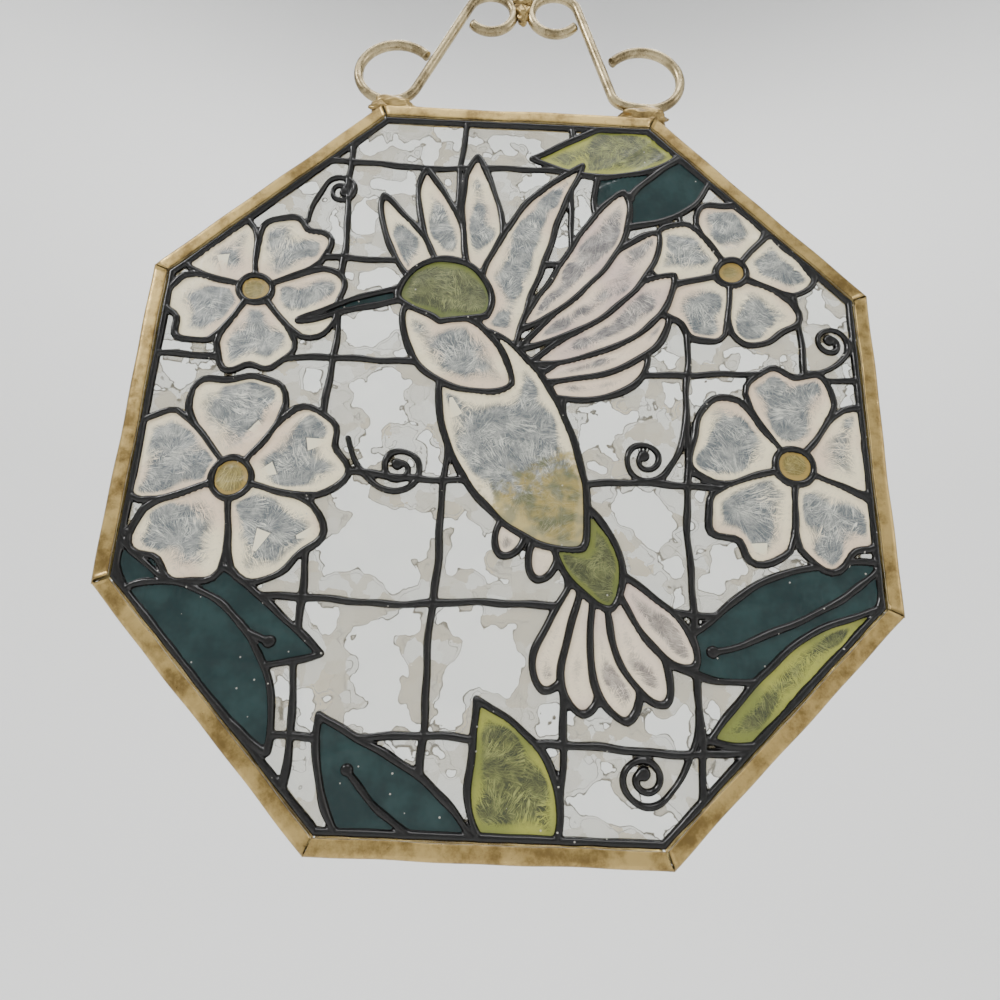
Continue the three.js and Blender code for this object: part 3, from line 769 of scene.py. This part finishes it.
profile = came_profile()
material = aged_brass("came_brass", tone(0.72, 0.62, 0.40), tone(0.46, 0.38, 0.23), 0.36)
lengthwise = np.linspace(-1, 1, 60)
for side in range(8):
    angle = side * np.pi / 4
    normal = np.array([math.sin(angle), math.cos(angle)])
    along = np.array([math.cos(angle), -math.sin(angle)])
    distance, depth = profile[:, 0], profile[:, 1]
    open_here = np.where(distance < opening_half + came_face - came_wall - 0.01, 1.0, 0.05)
    half = distance * math.tan(np.pi / 8)
    start = -half + open_here * mitre_gaps[side - 1] / 2
    end = half - open_here * mitre_gaps[side] / 2
    run = start + (end - start) * (lengthwise[:, None] + 1) / 2
    hollow = 0.09 * np.sin(run / 7.3 + 5 * side) + 0.06 * np.sin(run / 2.9 + side)
    x = normal[0] * (distance + hollow) + along[0] * run
    z = normal[1] * (distance + hollow) + along[1] * run
    if side in (2, 6):
        z = z * (half + side_lengthening) / half
    else:
        z = z + side_lengthening * np.sign(normal[1])
    y = depth + 0.05 * np.sin(run / 5.1 + 2 * side) * np.sign(depth)
    count = len(profile)
    places = np.stack([x, y, z], axis=-1).reshape(-1, 3) * MM + np.array(pane_middle)
    faces = grid_faces(len(lengthwise), count, wrap_columns=True).tolist()
    faces += [list(range(count)), list(range((len(lengthwise) - 1) * count, len(lengthwise) * count))[::-1]]
    mesh = bpy.data.meshes.new(f"came_side_{side + 1}")
    mesh.from_pydata(places, [], faces)
    mesh.shade_smooth()
    piece = bpy.data.objects.new(mesh.name, mesh)
    bpy.context.scene.collection.objects.link(piece)
    piece.data.materials.append(material)
    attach(piece, "root")
    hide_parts("came_brass")


# The hanger: two brass rods, each bent into an outer curl, a foot on the strip, a leg and an upper loop.

wire_radius = 1.3
foot_height = 98.8
hangers = {
    "left": dict(side=-1, lean=66, curl=(34.4, 102.3, 8.2, 11.4, 140), loop=(8.8, 125.8, 6.4, 321)),
    "right": dict(side=1, lean=72, curl=(34.2, 103.7, 8.7, 11.2, 144), loop=(9.2, 126.2, 6.7, 325)),
}


def hanger_route(side, lean, curl, loop):
    """The curl, whose radius shrinks evenly with its angle down to its foot, a quadratic bend up to the foot
    height, a straight leg that touches the loop, and the loop's arc."""
    x, z, foot_radius, end_radius, end = curl
    loop_x, loop_z, loop_radius, loop_end = loop
    slope, touch = math.tan(math.radians(lean)), math.radians(90 - lean)
    top = np.array([loop_x + loop_radius * math.cos(touch), loop_z + loop_radius * math.sin(touch)])
    bottom = z - foot_radius
    foot = np.array([top[0] + (top[1] - foot_height) / slope, foot_height])
    bend = np.array([foot[0] + (foot_height - bottom) / slope, bottom])
    share = np.linspace(0, 1, 70)
    a = np.radians(end + (-90 - end) * share)
    radius = end_radius + (foot_radius - end_radius) * share
    curl_part = np.stack([x + radius * np.cos(a), z + radius * np.sin(a)], axis=1)
    t = np.linspace(0, 1, 12)[1:, None]
    bend_part = curl_part[-1] * (1 - t) ** 2 + bend * 2 * t * (1 - t) + foot * t**2
    leg = foot + (top - foot) * np.linspace(0, 1, 20)[1:, None]
    b = np.linspace(touch, math.radians(loop_end), 50)[1:]
    loop_part = np.stack([loop_x + loop_radius * np.cos(b), loop_z + loop_radius * np.sin(b)], axis=1)
    return np.concatenate([curl_part, bend_part, leg, loop_part]) * (side, 1)


def round_rod(name, route, radius, closed=False, sides=20):
    """A circle carried along a flat route. Its ends close in three steps, like a wire cut and dressed."""
    ahead = np.gradient(route, axis=0) if not closed else np.roll(route, -1, 0) - np.roll(route, 1, 0)
    ahead /= np.hypot(*ahead.T)[:, None]
    across = np.stack([-ahead[:, 1], ahead[:, 0]], axis=1)
    size = np.full(len(route), radius)
    if not closed:
        caps = radius * np.array([0.02, 0.62, 0.9])
        back = radius * np.array([0.0, 0.1, 0.35])
        first = [route[0] + ahead[0] * b for b in back - back[-1]]
        last = [route[-1] - ahead[-1] * b for b in back - back[-1]][::-1]
        route = np.concatenate([first, route, last])
        across = np.concatenate([[across[0]] * 3, across, [across[-1]] * 3])
        size = np.concatenate([caps, size, caps[::-1]])
    turn = np.linspace(0, 2 * np.pi, sides, endpoint=False)
    flat = route[:, None, :] + across[:, None, :] * (size[:, None] * np.cos(turn))[..., None]
    y = size[:, None] * np.sin(turn) * np.ones((len(route), 1))
    places = np.stack([flat[..., 0], y, flat[..., 1]], axis=-1).reshape(-1, 3) * MM + np.array(pane_middle)
    faces = grid_faces(len(route), sides, wrap_rows=closed, wrap_columns=True).tolist()
    if not closed:
        faces += [list(range(sides)), list(range((len(route) - 1) * sides, len(route) * sides))[::-1]]
    mesh = bpy.data.meshes.new(name)
    mesh.from_pydata(places, [], faces)
    mesh.shade_smooth()
    piece = bpy.data.objects.new(name, mesh)
    bpy.context.scene.collection.objects.link(piece)
    return piece


wire_brass = aged_brass("wire_brass", tone(0.70, 0.64, 0.50), tone(0.44, 0.39, 0.29), 0.3)
for name, hanger in hangers.items():
    piece = round_rod(f"wire_{name}", hanger_route(**hanger), wire_radius)
    piece.data.materials.append(wire_brass)
    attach(piece, "root")
    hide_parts(f"hanger_wire_{name}")

ring_radius, ring_wire, ring_height = 5.0, 1.0, 137.2
around = np.linspace(0, 2 * np.pi, 64, endpoint=False)
ring = np.stack([ring_radius * np.cos(around), ring_height + ring_radius * np.sin(around)], axis=1)
piece = round_rod("ring", ring, ring_wire, closed=True)
piece.data.materials.append(wire_brass)
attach(piece, "root")
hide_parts("hanging_ring")


# The solder: tin run hot over each joint, left lumpy and dull, and gone a little yellow.

material = aged_brass("solder", tone(0.66, 0.57, 0.38), tone(0.40, 0.33, 0.21), 0.36)


def lump(name, x, z, half_width, half_depth, half_height, seed, y=0.0):
    """A ball whose reach swells by three sines of its direction, stretched to its three half-sizes."""
    up = np.linspace(0, np.pi, 40)[:, None]
    turn = np.linspace(0, 2 * np.pi, 64, endpoint=False)[None, :]
    east, north, high = np.sin(up) * np.cos(turn), np.sin(up) * np.sin(turn), np.cos(up) * np.ones_like(turn)
    reach = 1 + 0.10 * np.sin(4 * east + 3 * high + seed) + 0.08 * np.sin(7 * north - 5 * high + 2 * seed)
    reach += 0.05 * np.sin(11 * east + 9 * north + 3 * seed) * np.sin(8 * high + seed)
    places = np.stack([
        x + half_width * reach * east, y + half_depth * reach * north, z + half_height * reach * high,
    ], axis=-1).reshape(-1, 3) * MM + np.array(pane_middle)
    return add_mesh(name, places, grid_faces(40, 64, wrap_columns=True)[:, ::-1])


came_top = opening_half + side_lengthening + came_face
lumps = {
    "solder_left": [(-33.6, came_top + 1.3, 6.2, 2.6, 2.9, 1.0), (-36.2, came_top + 0.6, 3.4, 2.4, 2.1, 2.6)],
    "solder_right": [(33.4, came_top + 1.3, 6.0, 2.6, 3.0, 4.0), (36.4, came_top + 0.5, 3.0, 2.4, 2.0, 5.2)],
    "solder_top": [(0.1, 126.6, 2.4, 2.0, 3.6, 3.0), (0.1, 129.6, 3.0, 2.2, 2.6, 6.1)],
}
for stands_for, parts in lumps.items():
    for i, part in enumerate(parts):
        piece = lump(f"{stands_for}_lump_{i + 1}", *part)
        piece.data.materials.append(material)
        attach(piece, "root")
        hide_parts(stands_for)
